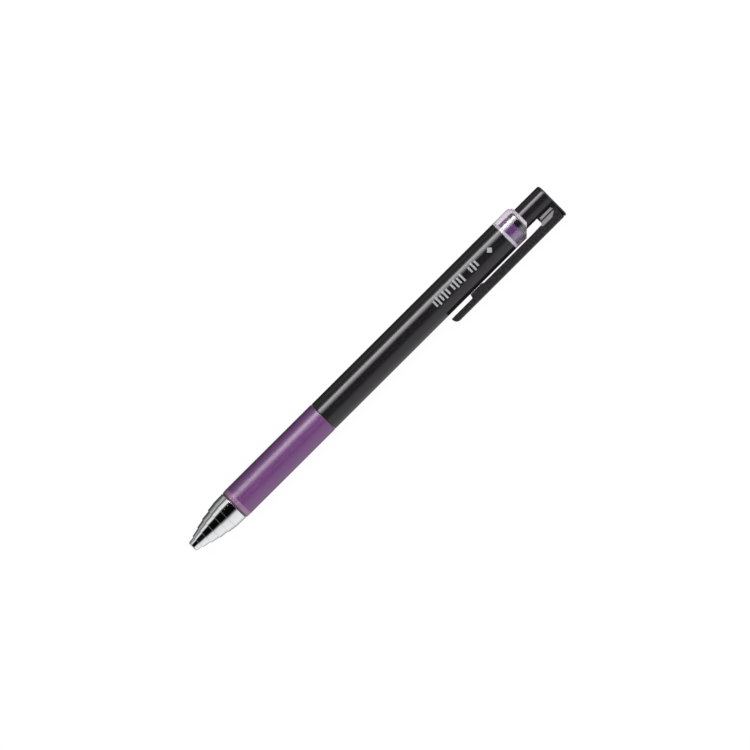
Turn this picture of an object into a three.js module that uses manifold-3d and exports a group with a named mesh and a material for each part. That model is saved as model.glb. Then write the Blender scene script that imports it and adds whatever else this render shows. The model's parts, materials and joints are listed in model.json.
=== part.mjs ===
// Retractable gel-ink pen: chrome cone, rubber grip, black barrel, clear collar,
// and a push knob that carries the pocket clip. The point is retracted at rest.
//
// Each piece is drawn in the pen's own frame, in millimetres: z runs along the axis
// from the tip (z = 0) to the knob's end (z = PEN_LENGTH), and the clip is towards +x.
// The whole pen is then laid on its side, as it lies on a table.

import * as THREE from 'three';
import { mergeVertices } from 'three/addons/utils/BufferGeometryUtils.js';
import Module from 'manifold-3d';

const wasm = await Module();
wasm.setup();

// ---- driving dimensions -------------------------------------------------------------

const PEN_LENGTH = 142;
const STROKE = 4.7; // full travel of the knob
const GAP = 0.05; // between pieces that are pressed or glued together
const RUN = 0.1; // between pieces that slide in each other

const CONE_LENGTH = 16.6;
const CONE_BORE = 1.25; // the refill's point passes through it
const SPRING_SEAT_Z = 5.2;
const THREAD_R = 3.9;
const THREAD_START_Z = 11.2;

const GRIP_R = 4.9;
const GRIP_SEAT_R = 4.0;
const GRIP_END_Z = 52.4;

const BARREL_R = 4.85;
const BARREL_BORE = 3.3;
const BARREL_END_Z = 124.9;
const SLEEVE_START_Z = 106;
const SLEEVE_R = 4.1;

const COLLAR_END_Z = 132.2;
const COLLAR_BORE = 3.6;
const COLLAR_SPIGOT_Z = 120.5;
const COLLAR_CUT = 133.9; // the oblique cut removes x + z above this value
const KEYWAY_R = 4.2;
const KEYWAY_WIDTH = 1.7;

const CAM_BORE = 3.55; // bottom of the four grooves
const CAM_LAND_R = 2.95; // inner face of the lands between them
const CAM_RIB_R = 3.45; // ribs and keys that run in the grooves
const CAM_BODY_R = 2.85;
const CAM_STATIONS = 4;
const CAM_LAND_START_Z = 112.7;
const CAM_LAND_END_Z = 119;
const CAM_RISE = 0.8;
const CAM_SPIGOT_R = 1.8;

const KNOB_R = 3.35;
const KNOB_START_Z = 129.35;
const KNOB_FLAT_X = 3.05; // flat on the side that faces the clip
const BLOCK_START_Z = 135.1; // upper end of the slot between knob and clip
const CAP_START_Z = 141.3;
const RING_START_Z = 125.4;

const CLIP_OUTER_X = 8.08;
const CLIP_HALF_WIDTH = 2.28;
const CLIP_EDGE_R = 0.6;
const CLIP_END_Z = 97.8;
const CLIP_HINGE_X = 4.1;
const CLIP_OPENING = THREE.MathUtils.degToRad(4);
const POCKET_HALF_WEB = 1.1; // half thickness of the web between the two side pockets

const REFILL_R = 3.0;
const REFILL_BORE = 2.45;
const REFILL_TUBE_Z = 18.05;
const REFILL_REAR_Z = 112.4;
const POINT_R = 1.15;
const POINT_FRONT_Z = 1.7;
const POINT_REAR_Z = 13;
const BALL_R = 0.35;

const FINE = 48; // sides of the outer pieces
const COARSE = 32; // sides of the inner pieces

// ---- how the pen lies ---------------------------------------------------------------

// It rests on the grip and on one edge of the clip, so the clip points below level by
// LAY_ANGLE: the clip edge's centre (edgeX, edgeY) is CLIP_EDGE_R above the table.
const edgeX = CLIP_OUTER_X - CLIP_EDGE_R;
const edgeY = CLIP_HALF_WIDTH - CLIP_EDGE_R;
const LAY_ANGLE = Math.asin((GRIP_R - CLIP_EDGE_R) / Math.hypot(edgeX, edgeY)) - Math.atan2(edgeY, edgeX);
const DOWN_ANGLE = Math.PI / 2 - LAY_ANGLE; // where "down" is, seen along the axis
const CLIP_REACH = edgeX * Math.cos(LAY_ANGLE) + edgeY * Math.sin(LAY_ANGLE) + CLIP_EDGE_R;

// ---- materials ----------------------------------------------------------------------

function material(color, roughness, metalness, opacity = 1) {
  return new THREE.MeshStandardMaterial({ color, roughness, metalness, opacity, transparent: opacity < 1 });
}

const chrome = material(0xd8dade, 0.12, 1);
const steel = material(0xb8bcc0, 0.3, 1);
const carbide = material(0x8c8f94, 0.2, 1);
const blackGloss = material(0x1a181a, 0.18, 0);
const violetRubber = material(0x7d417d, 0.6, 0);
const violetPlastic = material(0x7a4f85, 0.35, 0);
const clearPlastic = material(0xf1ecf4, 0.08, 0, 0.35);
const whitePlastic = material(0xe9e9e6, 0.4, 0);
const naturalPlastic = material(0xdedfdc, 0.35, 0, 0.6);
const violetInk = material(0x4a1d6e, 0.3, 0);
const clearGrease = material(0xe2dca8, 0.3, 0, 0.6);

// ---- geometry helpers ---------------------------------------------------------------

// A closed mesh turned so that its faces point out, with only its positions kept.
function bareGeometry(geometry) {
  const bare = geometry.clone();
  bare.deleteAttribute('normal');
  bare.deleteAttribute('uv');
  const merged = mergeVertices(bare, 1e-5);
  const at = merged.attributes.position;
  const index = merged.index.array;
  const [a, b, c] = [new THREE.Vector3(), new THREE.Vector3(), new THREE.Vector3()];
  let sixVolumes = 0;
  for (let i = 0; i < index.length; i += 3) {
    a.fromBufferAttribute(at, index[i]);
    b.fromBufferAttribute(at, index[i + 1]);
    c.fromBufferAttribute(at, index[i + 2]);
    sixVolumes += a.dot(b.cross(c));
  }
  if (sixVolumes < 0) {
    for (let i = 0; i < index.length; i += 3) {
      [index[i], index[i + 1]] = [index[i + 1], index[i]];
    }
  }
  return merged;
}

function solid(geometry) {
  const bare = bareGeometry(geometry);
  const mesh = new wasm.Mesh({
    numProp: 3,
    vertProperties: new Float32Array(bare.attributes.position.array),
    triVerts: new Uint32Array(bare.index.array),
  });
  return new wasm.Manifold(mesh);
}

function geometryOf(manifold) {
  const { vertProperties, triVerts } = manifold.getMesh();
  const geometry = new THREE.BufferGeometry();
  geometry.setAttribute('position', new THREE.BufferAttribute(vertProperties, 3));
  geometry.setIndex(new THREE.BufferAttribute(triVerts, 1));
  geometry.computeVertexNormals();
  return geometry;
}

// A round piece: its closed outline of [radius, z] points turned about the axis. One
// vertex of every ring is at DOWN_ANGLE, so the facets of nested pieces run parallel.
function turned(outline, sides) {
  const points = [...outline, outline[0]].map(([r, z]) => new THREE.Vector2(r, z));
  const geometry = new THREE.LatheGeometry(points, sides, DOWN_ANGLE + Math.PI / 2);
  return bareGeometry(geometry.rotateX(Math.PI / 2));
}

function tubeOutline(inner, outer, z0, z1) {
  return [[inner, z0], [outer, z0], [outer, z1], [inner, z1]];
}

// A block given by its limits along x, y and z.
function block(x0, x1, y0, y1, z0, z1) {
  const geometry = new THREE.BoxGeometry(x1 - x0, y1 - y0, z1 - z0);
  return geometry.translate((x0 + x1) / 2, (y0 + y1) / 2, (z0 + z1) / 2);
}

// A shape of [x, z] points, extruded along y by halfWidth to each side.
function sidePlate(shape, halfWidth, curveSegments = 4) {
  const geometry = new THREE.ExtrudeGeometry(shape, {
    depth: 2 * halfWidth,
    bevelEnabled: false,
    curveSegments,
  });
  return geometry.rotateX(Math.PI / 2).translate(0, halfWidth, 0);
}

// A block bent round the axis from angle a0 to a1. Its bottom and top may slope:
// each is [height at a0, height at a1].
function arcBlock({ inner, outer, a0, a1, bottom, top, steps }) {
  const geometry = new THREE.BoxGeometry(1, 1, 1, steps, 1, 1);
  const at = geometry.attributes.position;
  for (let i = 0; i < at.count; i += 1) {
    const along = at.getX(i) + 0.5;
    const r = at.getY(i) < 0 ? inner : outer;
    const [z0, z1] = at.getZ(i) < 0 ? bottom : top;
    const angle = a0 + along * (a1 - a0);
    at.setXYZ(i, r * Math.cos(angle), r * Math.sin(angle), z0 + along * (z1 - z0));
  }
  return geometry;
}

class Helix extends THREE.Curve {
  constructor(radius, z0, z1, turns) {
    super();
    Object.assign(this, { radius, z0, z1, turns });
  }

  getPoint(t, target = new THREE.Vector3()) {
    const angle = 2 * Math.PI * this.turns * t;
    const z = this.z0 + t * (this.z1 - this.z0);
    return target.set(this.radius * Math.cos(angle), this.radius * Math.sin(angle), z);
  }
}

function coilSpring({ radius, wireRadius, z0, z1, turns, stepsPerTurn, sides }) {
  const section = new THREE.Shape();
  section.absarc(0, 0, wireRadius, 0, 2 * Math.PI);
  return new THREE.ExtrudeGeometry(section, {
    extrudePath: new Helix(radius, z0 + wireRadius, z1 - wireRadius, turns),
    steps: turns * stepsPerTurn,
    curveSegments: sides,
  });
}

const pen = new THREE.Group();

function addPiece(name, geometry, pieceMaterial) {
  const mesh = new THREE.Mesh(geometry, pieceMaterial.clone());
  mesh.name = name;
  pen.add(mesh);
}

const degrees = THREE.MathUtils.degToRad;

// ---- cone, grip and barrel ----------------------------------------------------------

// The cone narrows in five steps. Each ring is [start z, start radius, end z, end radius].
function tipCone() {
  const rings = [
    [0.2, 1.6, 2.0, 1.84],
    [2.15, 2.2, 4.65, 2.68],
    [4.8, 3.0, 7.35, 3.46],
    [7.5, 3.73, 10.25, 4.0],
    [10.4, 4.34, 12.75, 4.61],
    [12.9, 4.69, CONE_LENGTH - 0.15, 4.77],
  ];
  const outside = rings.flatMap(([z0, r0, z1, r1]) => [[r0, z0], [r1, z1]]);
  const threadBore = THREAD_R + 0.08;
  const inside = [
    [4.65, CONE_LENGTH],
    [threadBore, CONE_LENGTH],
    [threadBore, 10.9],
    [3.1, 10.9],
    [3.1, 8.2],
    [2.6, 8.2],
    [2.6, SPRING_SEAT_Z],
    [CONE_BORE, SPRING_SEAT_Z],
    [CONE_BORE, 0],
  ];
  return turned([[1.45, 0], ...outside, ...inside], FINE);
}

function rubberGrip() {
  const z0 = CONE_LENGTH + GAP;
  const z1 = GRIP_END_Z - GAP;
  const inner = GRIP_SEAT_R + GAP;
  return turned([
    [inner, z0],
    [GRIP_R - 0.1, z0],
    [GRIP_R, z0 + 0.15],
    [GRIP_R, z1 - 0.15],
    [GRIP_R - 0.1, z1],
    [inner, z1],
  ], FINE);
}

function barrel() {
  const sleeveBore = SLEEVE_R + GAP;
  return turned([
    [BARREL_BORE, THREAD_START_Z],
    [THREAD_R - 0.25, THREAD_START_Z],
    [THREAD_R, THREAD_START_Z + 0.3],
    [THREAD_R, CONE_LENGTH + GAP],
    [GRIP_SEAT_R, CONE_LENGTH + GAP],
    [GRIP_SEAT_R, GRIP_END_Z],
    [BARREL_R - 0.1, GRIP_END_Z],
    [BARREL_R, GRIP_END_Z + 0.1],
    [BARREL_R, BARREL_END_Z],
    [sleeveBore, BARREL_END_Z],
    [sleeveBore, SLEEVE_START_Z],
    [COLLAR_BORE, SLEEVE_START_Z],
    [COLLAR_BORE, SLEEVE_START_Z - 5],
    [BARREL_BORE, SLEEVE_START_Z - 6],
  ], FINE);
}

// Clear collar: a spigot pressed into the barrel, a keyway in its bore on the clip's
// side, and an oblique cut with a notch, which make room for the head when it is pushed in.
function clearCollar() {
  const ring = solid(turned([
    [COLLAR_BORE, COLLAR_SPIGOT_Z],
    [SLEEVE_R, COLLAR_SPIGOT_Z],
    [SLEEVE_R, BARREL_END_Z + GAP],
    [BARREL_R, BARREL_END_Z + GAP],
    [BARREL_R, COLLAR_END_Z - 0.7],
    [BARREL_R - 0.55, COLLAR_END_Z],
    [COLLAR_BORE, COLLAR_END_Z],
  ], FINE));
  const keyway = solid(block(0, KEYWAY_R, -KEYWAY_WIDTH / 2, KEYWAY_WIDTH / 2, 115, 140));
  const oblique = block(0, 20, -8, 8, -20, 20).rotateY(-Math.PI / 4);
  const cutZ = COLLAR_END_Z;
  const cutAway = solid(oblique.translate(COLLAR_CUT - cutZ, 0, cutZ));
  const headHalfWidth = CLIP_HALF_WIDTH + 0.15;
  const headFloor = BLOCK_START_Z - STROKE - 0.2;
  const headNotch = solid(block(2.2, 6, -headHalfWidth, headHalfWidth, headFloor, 140));
  return geometryOf(ring.subtract(keyway).subtract(cutAway).subtract(headNotch));
}

// ---- the push mechanism -------------------------------------------------------------

const GROOVE = degrees(30);
const RIB = degrees(22);
const STATION = (2 * Math.PI) / CAM_STATIONS;
const stations = Array.from({ length: CAM_STATIONS }, (_, i) => (i + 0.5) * STATION);

// Sleeve with four grooves. Each land between them ends in two ramps with a notch
// between, where the rotor's ribs catch when the point is out. A stop ring above the
// lands keeps the plunger from coming out of the back.
function camSleeve() {
  let sleeve = solid(turned([
    [CAM_BORE, SLEEVE_START_Z + GAP],
    [SLEEVE_R, SLEEVE_START_Z + GAP],
    [SLEEVE_R, COLLAR_SPIGOT_Z - GAP],
    [CAM_LAND_R, COLLAR_SPIGOT_Z - GAP],
    [CAM_LAND_R, CAM_LAND_END_Z],
    [CAM_BORE, CAM_LAND_END_Z],
  ], COARSE));
  const ramp = (STATION - GROOVE) / 2;
  for (const station of stations) {
    for (const half of [0, 1]) {
      const a0 = station + GROOVE / 2 + half * ramp;
      sleeve = sleeve.add(solid(arcBlock({
        inner: CAM_LAND_R + 0.03, // just clear of the stop ring's facets
        outer: CAM_BORE + 0.2,
        a0,
        a1: a0 + ramp,
        bottom: [CAM_LAND_START_Z, CAM_LAND_START_Z + CAM_RISE],
        top: [CAM_LAND_END_Z + 0.2, CAM_LAND_END_Z + 0.2],
        steps: 3,
      })));
    }
  }
  return geometryOf(sleeve);
}

// Ribs or keys that run in the sleeve's grooves.
function addRibs(body, bottom, top) {
  return stations.reduce((whole, station) => whole.add(solid(arcBlock({
    inner: CAM_BODY_R - 0.03,
    outer: CAM_RIB_R,
    a0: station - RIB / 2,
    a1: station + RIB / 2,
    bottom,
    top,
    steps: 2,
  }))), body);
}

// A ring of saw teeth between heights low and high, growing from the flat ring at base.
function addTeeth(body, low, base, upwards) {
  const count = 2 * CAM_STATIONS;
  const pitch = (2 * Math.PI) / count;
  let whole = body;
  for (let i = 0; i < count; i += 1) {
    const slope = [low, low + CAM_RISE];
    const flat = [base, base];
    whole = whole.add(solid(arcBlock({
      inner: CAM_SPIGOT_R + RUN + 0.05,
      outer: CAM_BODY_R - 0.15,
      a0: (i + 0.02) * pitch,
      a1: (i + 0.98) * pitch,
      bottom: upwards ? flat : slope,
      top: upwards ? slope : flat,
      steps: 2,
    })));
  }
  return whole;
}

const ROTOR_TOP_Z = 117.2;
const TOOTH_LOW_Z = ROTOR_TOP_Z + 0.1;
const PLUNGER_START_Z = 118.5;
const PLUNGER_END_Z = 135.8;
const NECK_R = 2.4; // where the knob is pressed on
const KEY_TOP_Z = CAM_LAND_END_Z - RUN;

function camRotor() {
  const spigotTop = 121;
  const body = solid(turned([
    [0, REFILL_REAR_Z + RUN],
    [CAM_BODY_R, REFILL_REAR_Z + RUN],
    [CAM_BODY_R, ROTOR_TOP_Z],
    [CAM_SPIGOT_R, ROTOR_TOP_Z],
    [CAM_SPIGOT_R, spigotTop - 0.3],
    [CAM_SPIGOT_R - 0.3, spigotTop],
    [0, spigotTop],
  ], COARSE));
  const ribbed = addRibs(body, [112.8, 112.8], [ROTOR_TOP_Z - 0.3, ROTOR_TOP_Z + 0.3]);
  return geometryOf(addTeeth(ribbed, TOOTH_LOW_Z, ROTOR_TOP_Z - 0.2, true));
}

function knockPlunger() {
  const bore = CAM_SPIGOT_R + RUN;
  const tube = solid(turned([
    [bore, PLUNGER_START_Z],
    [CAM_BODY_R, PLUNGER_START_Z],
    [CAM_BODY_R, KNOB_START_Z - GAP],
    [NECK_R, KNOB_START_Z - GAP],
    [NECK_R, PLUNGER_END_Z],
    [bore, PLUNGER_END_Z],
  ], COARSE));
  const keyed = addRibs(tube, [117.7, 117.7], [KEY_TOP_Z, KEY_TOP_Z]);
  const toothed = addTeeth(keyed, TOOTH_LOW_Z + 0.12, PLUNGER_START_Z + 0.2, false);
  // The keys stop at the tube's wall.
  const boreCut = solid(turned([[0, 110], [bore, 110], [bore, 125], [0, 125]], COARSE));
  return geometryOf(toothed.subtract(boreCut));
}

// Coloured ring on the plunger, seen through the collar. Its rib runs in the keyway
// and keeps the clip in line with the collar's cut.
function colourRing() {
  const inner = CAM_BODY_R + GAP;
  const ring = solid(turned(tubeOutline(inner, COLLAR_BORE - 0.2, RING_START_Z, KNOB_START_Z - GAP), FINE));
  const rib = solid(block(inner + 0.3, KEYWAY_R - 0.15, -0.75, 0.75, RING_START_Z, KNOB_START_Z - GAP));
  return geometryOf(ring.add(rib));
}

// ---- knob, cap and clip -------------------------------------------------------------

const BUTTON_TOP_Z = CAP_START_Z - GAP;
const CAP_SPIGOT_R = 2.35;
const CAP_SPIGOT_DEPTH = 1.7;
const POCKET_START_Z = 134.4;
const POCKET_END_Z = 140.1;
const POCKET_OUTER_X = 5.75;

// The pocket's outline in the x-z plane; its upper end leans back towards the knob.
function pocketShape() {
  const shape = new THREE.Shape();
  shape.moveTo(KNOB_FLAT_X, POCKET_START_Z);
  shape.lineTo(POCKET_OUTER_X - 0.5, POCKET_START_Z);
  shape.quadraticCurveTo(POCKET_OUTER_X, POCKET_START_Z, POCKET_OUTER_X, POCKET_START_Z + 0.6);
  shape.lineTo(POCKET_OUTER_X, POCKET_END_Z - 2);
  shape.quadraticCurveTo(POCKET_OUTER_X - 0.2, POCKET_END_Z - 0.6, KNOB_FLAT_X + 1.3, POCKET_END_Z);
  shape.lineTo(KNOB_FLAT_X, POCKET_END_Z);
  shape.closePath();
  return shape;
}

function cutPockets(body) {
  const depth = 2;
  const pocket = () => sidePlate(pocketShape(), depth / 2);
  const offset = POCKET_HALF_WEB + depth / 2;
  return body
    .subtract(solid(pocket().translate(0, offset, 0)))
    .subtract(solid(pocket().translate(0, -offset, 0)));
}

// A narrow groove runs along each side of the knob, where it meets the clip's root.
function knockButton() {
  const bore = NECK_R + GAP;
  const cylinder = solid(turned([
    [bore, KNOB_START_Z],
    [KNOB_R, KNOB_START_Z],
    [KNOB_R, BUTTON_TOP_Z],
    [CAP_SPIGOT_R + GAP, BUTTON_TOP_Z],
    [CAP_SPIGOT_R + GAP, BUTTON_TOP_Z - CAP_SPIGOT_DEPTH - 0.1],
    [0, BUTTON_TOP_Z - CAP_SPIGOT_DEPTH - 0.1],
    [0, PLUNGER_END_Z + 0.2],
    [bore, PLUNGER_END_Z + 0.2],
  ], FINE));
  const halfWidth = CLIP_HALF_WIDTH;
  const rootEnd = CLIP_HINGE_X - GAP;
  const root = solid(block(NECK_R + 0.2, rootEnd, -halfWidth, halfWidth, BLOCK_START_Z, BUTTON_TOP_Z));
  const flat = solid(block(KNOB_FLAT_X, 5, -4, 4, 128, BLOCK_START_Z));
  const groove = (y0, y1) => solid(block(2.4, 2.75, y0, y1, 128, BUTTON_TOP_Z + 1));
  const body = cylinder.subtract(flat).add(root).subtract(groove(1.75, 3)).subtract(groove(-3, -1.75));
  return geometryOf(cutPockets(body));
}

// The end view of knob and clip together: a circle with a block on the clip's side,
// whose two outer corners are round. inset draws it smaller all round.
function endShape(inset) {
  const r = KNOB_R - inset;
  const w = CLIP_HALF_WIDTH - inset;
  const far = CLIP_OUTER_X - inset;
  const start = Math.asin(w / r);
  const shape = new THREE.Shape();
  shape.absarc(0, 0, r, start, 2 * Math.PI - start);
  shape.lineTo(far - CLIP_EDGE_R, -w);
  shape.absarc(far - CLIP_EDGE_R, -w + CLIP_EDGE_R, CLIP_EDGE_R, -Math.PI / 2, 0);
  shape.absarc(far - CLIP_EDGE_R, w - CLIP_EDGE_R, CLIP_EDGE_R, 0, Math.PI / 2);
  shape.closePath();
  return shape;
}

function endPlate(inset, z0, z1) {
  const geometry = new THREE.ExtrudeGeometry(endShape(inset), {
    depth: z1 - z0,
    bevelEnabled: false,
    curveSegments: 12,
  });
  return geometry.translate(0, 0, z0);
}

function knockCap() {
  const rim = 0.3;
  const lower = solid(endPlate(0, CAP_START_Z, PEN_LENGTH - rim));
  const upper = solid(endPlate(rim, PEN_LENGTH - rim - 0.1, PEN_LENGTH));
  const spigotStart = CAP_START_Z - CAP_SPIGOT_DEPTH;
  const spigot = solid(turned([
    [0, spigotStart],
    [CAP_SPIGOT_R, spigotStart],
    [CAP_SPIGOT_R, CAP_START_Z + 0.2],
    [0, CAP_START_Z + 0.2],
  ], COARSE));
  return geometryOf(lower.add(upper).add(spigot));
}

// Side view of the clip. Its head meets the knob's root across a hair-line; the arm
// runs down to a nub that presses on the barrel, and to a thinner free end. The head's
// top slopes away from the cap, to leave room when the clip is pulled open.
function clipShape() {
  const innerX = 5.25;
  const nubX = 5.08;
  const tipX = 6.1;
  const topZ = CAP_START_Z - RUN;
  const drop = (CLIP_OUTER_X - CLIP_HINGE_X) * Math.tan(CLIP_OPENING) + 0.05;
  const shape = new THREE.Shape();
  shape.moveTo(CLIP_HINGE_X + GAP, topZ);
  shape.lineTo(CLIP_OUTER_X, topZ - drop);
  shape.lineTo(CLIP_OUTER_X, CLIP_END_Z + 1.6);
  shape.quadraticCurveTo(CLIP_OUTER_X - 0.1, CLIP_END_Z + 0.15, CLIP_OUTER_X - 1.6, CLIP_END_Z);
  shape.lineTo(tipX + 0.3, CLIP_END_Z);
  shape.quadraticCurveTo(tipX, CLIP_END_Z, tipX, CLIP_END_Z + 0.4);
  shape.lineTo(tipX, 106.0);
  shape.quadraticCurveTo(tipX, 107.0, nubX, 107.3);
  shape.lineTo(nubX, 110.8);
  shape.quadraticCurveTo(nubX, 112.0, innerX, 112.4);
  shape.lineTo(innerX, 130.5);
  shape.lineTo(5.1, BLOCK_START_Z - 1);
  shape.quadraticCurveTo(5.1, BLOCK_START_Z, CLIP_HINGE_X + GAP, BLOCK_START_Z);
  shape.closePath();
  return shape;
}

function clipArm() {
  const sideView = solid(sidePlate(clipShape(), CLIP_HALF_WIDTH));
  const endView = solid(endPlate(0, CLIP_END_Z - 1, PEN_LENGTH));
  return geometryOf(cutPockets(sideView.intersect(endView)));
}

// ---- refill -------------------------------------------------------------------------

function pointHolder() {
  const socketR = BALL_R + 0.04;
  return turned([
    [socketR, POINT_FRONT_Z],
    [0.52, POINT_FRONT_Z],
    [0.6, 2.2],
    [POINT_R, 5.3],
    [POINT_R, POINT_REAR_Z],
    [0.6, POINT_REAR_Z],
    [0.6, 3.1],
    [0.2, 3.0],
    [0.2, 2.3],
    [socketR, 2.25],
  ], 24);
}

function tipHolder() {
  const shoulderZ = 15.6;
  const endZ = 22;
  return turned([
    [POINT_R + GAP, 10.2],
    [1.6, 10.2],
    [1.75, 12],
    [1.75, shoulderZ],
    [CAM_BODY_R, shoulderZ],
    [CAM_BODY_R, REFILL_TUBE_Z - GAP],
    [REFILL_BORE - GAP, REFILL_TUBE_Z - GAP],
    [REFILL_BORE - GAP, endZ],
    [0.7, endZ],
    [0.7, POINT_REAR_Z + GAP],
    [POINT_R + GAP, POINT_REAR_Z + GAP],
  ], COARSE);
}

function cylinderPiece(radius, z0, z1) {
  return turned([[0, z0], [radius, z0], [radius, z1], [0, z1]], COARSE);
}

const TUBE_END_Z = 111.4;
const INK_START_Z = 22.1;
const INK_END_Z = 96;

function tailPlug() {
  const vent = 0.5;
  return turned([
    [vent, 108.5],
    [REFILL_BORE - GAP, 108.5],
    [REFILL_BORE - GAP, TUBE_END_Z + GAP],
    [REFILL_R - 0.1, TUBE_END_Z + GAP],
    [REFILL_R - 0.1, REFILL_REAR_Z],
    [vent, REFILL_REAR_Z],
  ], COARSE);
}

// ---- the assembly -------------------------------------------------------------------

addPiece('tip_cone', tipCone(), chrome);
addPiece('rubber_grip', rubberGrip(), violetRubber);
addPiece('barrel', barrel(), blackGloss);
addPiece('clear_collar', clearCollar(), clearPlastic);

addPiece('cam_sleeve', camSleeve(), whitePlastic);
addPiece('cam_rotor', camRotor(), whitePlastic);
addPiece('knock_plunger', knockPlunger(), naturalPlastic);
addPiece('colour_ring', colourRing(), violetPlastic);
addPiece('knock_button', knockButton(), blackGloss);
addPiece('knock_cap', knockCap(), blackGloss);
addPiece('clip_arm', clipArm(), blackGloss);

addPiece('writing_ball', new THREE.SphereGeometry(BALL_R, 12, 8)
  .rotateX(Math.PI / 2)
  .translate(0, 0, POINT_FRONT_Z + 0.07), carbide);
addPiece('point_holder', pointHolder(), steel);
addPiece('ball_spring', coilSpring({
  radius: 0.4, wireRadius: 0.08, z0: 3.2, z1: 12.6, turns: 12, stepsPerTurn: 8, sides: 2,
}), steel);
addPiece('tip_holder', tipHolder(), naturalPlastic);
addPiece('refill_tube', turned(tubeOutline(REFILL_BORE, REFILL_R, REFILL_TUBE_Z, TUBE_END_Z), COARSE),
  naturalPlastic);
addPiece('ink_column', cylinderPiece(REFILL_BORE - GAP, INK_START_Z, INK_END_Z), violetInk);
addPiece('ink_follower', cylinderPiece(REFILL_BORE - GAP, INK_END_Z + GAP, INK_END_Z + 4), clearGrease);
addPiece('refill_tail_plug', tailPlug(), whitePlastic);
addPiece('return_spring', coilSpring({
  radius: 2.2, wireRadius: 0.2, z0: SPRING_SEAT_Z + 0.1, z1: 15.5, turns: 8, stepsPerTurn: 14, sides: 3,
}), steel);

// Lay the pen down: its axis along X with the tip towards -X, and the clip towards -Y
// and down. The origin is on the table, under the centre of the pen's outer box.
const lay = new THREE.Matrix4().makeBasis(
  new THREE.Vector3(0, -Math.cos(LAY_ANGLE), -Math.sin(LAY_ANGLE)),
  new THREE.Vector3(0, Math.sin(LAY_ANGLE), -Math.cos(LAY_ANGLE)),
  new THREE.Vector3(1, 0, 0),
);
pen.setRotationFromMatrix(lay);
pen.position.set(-PEN_LENGTH / 2, (CLIP_REACH - GRIP_R) / 2, GRIP_R);

export default pen;
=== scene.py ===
# Retractable gel pen, dressed for rendering: every visible piece is rebuilt with fine,
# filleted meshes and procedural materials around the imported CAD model.
#
# Pieces are drawn in the pen's own frame in millimetres (z along the axis from the tip,
# the clip towards +x) and are then laid into the row frame, in metres.

import json
import math

import bmesh
import bpy
from mathutils import Matrix, Vector


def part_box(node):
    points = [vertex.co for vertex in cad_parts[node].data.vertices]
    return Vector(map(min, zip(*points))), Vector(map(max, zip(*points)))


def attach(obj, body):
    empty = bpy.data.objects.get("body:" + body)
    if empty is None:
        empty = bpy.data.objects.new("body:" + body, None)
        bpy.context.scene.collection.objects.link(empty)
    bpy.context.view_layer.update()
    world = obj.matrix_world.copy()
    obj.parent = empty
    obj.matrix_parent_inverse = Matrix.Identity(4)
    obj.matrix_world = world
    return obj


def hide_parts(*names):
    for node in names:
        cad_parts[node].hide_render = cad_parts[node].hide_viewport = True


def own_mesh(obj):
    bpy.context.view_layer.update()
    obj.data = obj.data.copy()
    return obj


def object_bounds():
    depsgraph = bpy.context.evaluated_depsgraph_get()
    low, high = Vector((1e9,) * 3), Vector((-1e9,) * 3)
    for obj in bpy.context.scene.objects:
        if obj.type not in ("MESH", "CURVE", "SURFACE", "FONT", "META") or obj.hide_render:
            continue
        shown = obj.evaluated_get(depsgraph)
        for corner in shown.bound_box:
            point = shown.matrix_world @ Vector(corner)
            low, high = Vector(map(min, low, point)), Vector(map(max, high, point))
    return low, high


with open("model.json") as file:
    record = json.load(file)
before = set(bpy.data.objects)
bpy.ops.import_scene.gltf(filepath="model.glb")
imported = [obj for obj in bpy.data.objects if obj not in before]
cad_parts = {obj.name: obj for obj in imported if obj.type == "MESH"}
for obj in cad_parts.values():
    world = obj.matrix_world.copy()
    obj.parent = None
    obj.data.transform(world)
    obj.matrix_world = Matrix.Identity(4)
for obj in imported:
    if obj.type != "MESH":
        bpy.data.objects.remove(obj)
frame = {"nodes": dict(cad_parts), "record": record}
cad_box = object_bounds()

# ---- the pen's frame, read from the CAD model ----------------------------------------

MM = 0.001


def mount_axis(name):
    mounts = {mount["name"]: mount for mount in frame["record"]["mounts"]}
    return Vector(mounts[name]["axis"]).normalized()


AXIS = Vector((1, 0, 0))
CLIP_DIRECTION = mount_axis("clip_outer_face")
SIDE_DIRECTION = AXIS.cross(CLIP_DIRECTION)
barrel_low, barrel_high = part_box("barrel")
TIP = Vector((cad_box[0].x, *((barrel_low + barrel_high) / 2).yz))
PEN = Matrix.Translation(TIP)
PEN @= Matrix((CLIP_DIRECTION, SIDE_DIRECTION, AXIS)).transposed().to_4x4()
PEN @= Matrix.Scale(MM, 4)


def span(node):
    """Where a CAD node starts and ends along the pen, in millimetres from the tip."""
    low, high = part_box(node)
    return (low.x - TIP.x) / MM, (high.x - TIP.x) / MM


def thickness(node):
    low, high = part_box(node)
    return (high.z - low.z) / MM


# ---- sizes, in millimetres ------------------------------------------------------------

PEN_LENGTH = span("knock_cap")[1]
CONE_END = span("tip_cone")[1]
GRIP_START, GRIP_END = span("rubber_grip")
BARREL_START, BARREL_END = span("barrel")
COLLAR_START, COLLAR_END = span("clear_collar")
SLEEVE_START = span("cam_sleeve")[0]
RING_START, RING_END = span("colour_ring")
CLIP_END, CLIP_TOP = span("clip_arm")
STROKE = 4.7
HAIR = 0.05  # half of a closed joint line
TIGHT = 0.01  # half of the line between the knob and the clip's root

# grip and barrel
GRIP_R = thickness("rubber_grip") / 2
GRIP_BORE = 4.05
LIP_END = 2.1  # the grip's front is paler up to here from its start
JOINT_SHADE_END = 0.75  # and darker up to here, where it meets the cone: painted shade of the joint
BARREL_R = thickness("barrel") / 2
BARREL_BORE = 3.3
BARREL_CORE = 4.0  # outside of the barrel under the grip
THREAD_ROOT = 3.62
THREAD_CREST = 3.88
PITCH = 1.0
THREAD_TURNS = 4.0

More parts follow.
